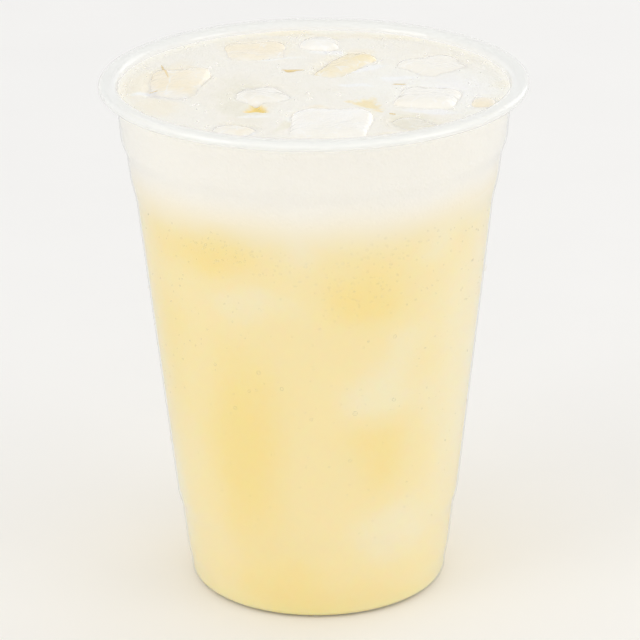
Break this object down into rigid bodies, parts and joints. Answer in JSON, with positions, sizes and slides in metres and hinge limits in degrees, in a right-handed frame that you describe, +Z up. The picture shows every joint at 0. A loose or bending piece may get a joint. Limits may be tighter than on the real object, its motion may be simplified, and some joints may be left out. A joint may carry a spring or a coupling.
{
  "type": "clear plastic cup of iced lemonade",
  "caption": "Tapered clear plastic cold cup with a rolled lip and moulded steps, full of cloudy iced lemonade under white froth, with melted ice blocks breaking the surface.",
  "frame": {"origin": "middle of the ring that the cup stands on, at the height of the surface under it", "axes": "+Z up along the cup's axis; -Y towards the side that the picture shows; +X to the right of that view"},
  "size_m": [0.098, 0.098, 0.1222],
  "materials": {
    "clear_plastic": "clear thermoformed sheet, glossy",
    "lemonade": "cloudy pale yellow drink, wet",
    "froth": "fine white foam, damp",
    "ice": "frosted melting ice, wet"
  },
  "bodies": {
    "root": {"cup": "clear_plastic", "lemonade": "lemonade", "froth": "froth", "ice_left": "ice", "ice_back_left": "ice", "ice_back": "ice", "ice_middle": "ice", "ice_centre": "ice", "ice_front": "ice", "ice_front_left": "ice", "ice_front_right": "ice", "ice_right": "ice", "ice_far_right": "ice", "ice_chip": "ice"}
  },
  "joints": []
}
